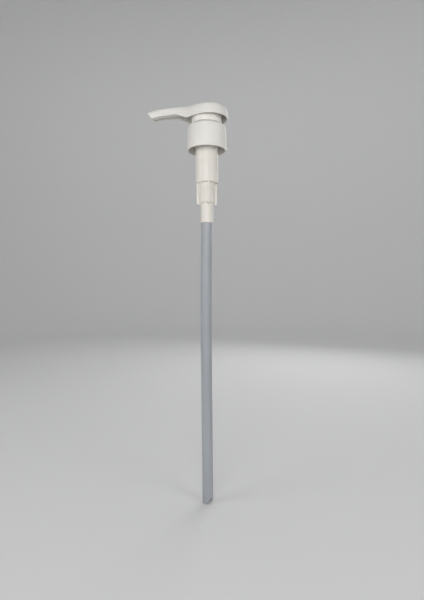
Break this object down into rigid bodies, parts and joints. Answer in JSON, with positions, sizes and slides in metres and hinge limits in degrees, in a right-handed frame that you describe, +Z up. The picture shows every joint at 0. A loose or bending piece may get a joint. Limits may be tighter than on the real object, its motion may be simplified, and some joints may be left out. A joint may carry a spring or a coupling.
{
  "type": "condiment pump dispenser",
  "caption": "Screw-on hand pump for a wide-mouth condiment jug, with a long bent nozzle, a lock-down head, a ribbed barrel and a long dip tube.",
  "frame": {"origin": "on the pump's axis, in the plane where the gasket's underside meets the rim of the jug's neck", "axes": "+Z up along the pump's axis, from the dip tube towards the head; the nozzle points towards -X"},
  "size_m": [0.089, 0.0422, 0.4288],
  "materials": {
    "head_white": "satin white polypropylene, slightly warm",
    "closure_white": "satin white polypropylene, slightly warm",
    "collar_gloss": "glossy white polypropylene",
    "housing_cream": "semi-gloss white polypropylene, slightly creamier",
    "tube_natural": "natural low-density polyethylene, cloudy and translucent",
    "stem_natural": "smooth white polypropylene",
    "seal_natural": "natural polyethylene, waxy",
    "gasket_foam": "fine foamed polyethylene",
    "steel": "plain stainless steel"
  },
  "bodies": {
    "pump_body": {"housing": "housing_cream", "lock_collar": "collar_gloss", "stem_seal": "seal_natural", "gasket": "gasket_foam", "ball_cage": "seal_natural", "dip_tube": "tube_natural", "spring": "steel"},
    "closure": {"closure": "closure_white"},
    "piston": {"piston_seal": "seal_natural", "piston_rod": "stem_natural"},
    "actuator": {"pump_head": "head_white", "stem": "stem_natural"},
    "outlet_ball": {"outlet_ball": "steel"},
    "inlet_ball": {"inlet_ball": "steel"}
  },
  "joints": [
    {"name": "closure_spin", "type": "hinge", "parent": "pump_body", "child": "closure", "pos_m": [0, 0, 0], "axis": [0, 0, 1], "continuous": true},
    {"name": "pump_stroke", "type": "slide", "parent": "pump_body", "child": "piston", "axis": [0, 0, 1], "range_m": [0, 0.024], "deforming": ["spring"]},
    {"name": "head_turn", "type": "hinge", "parent": "piston", "child": "actuator", "pos_m": [0, 0, 0], "axis": [0, 0, 1], "continuous": true},
    {"name": "outlet_ball_lift", "type": "slide", "parent": "actuator", "child": "outlet_ball", "axis": [0, 0, 1], "range_m": [0, 0.0012]},
    {"name": "inlet_ball_lift", "type": "slide", "parent": "pump_body", "child": "inlet_ball", "axis": [0, 0, 1], "range_m": [0, 0.0015]}
  ]
}
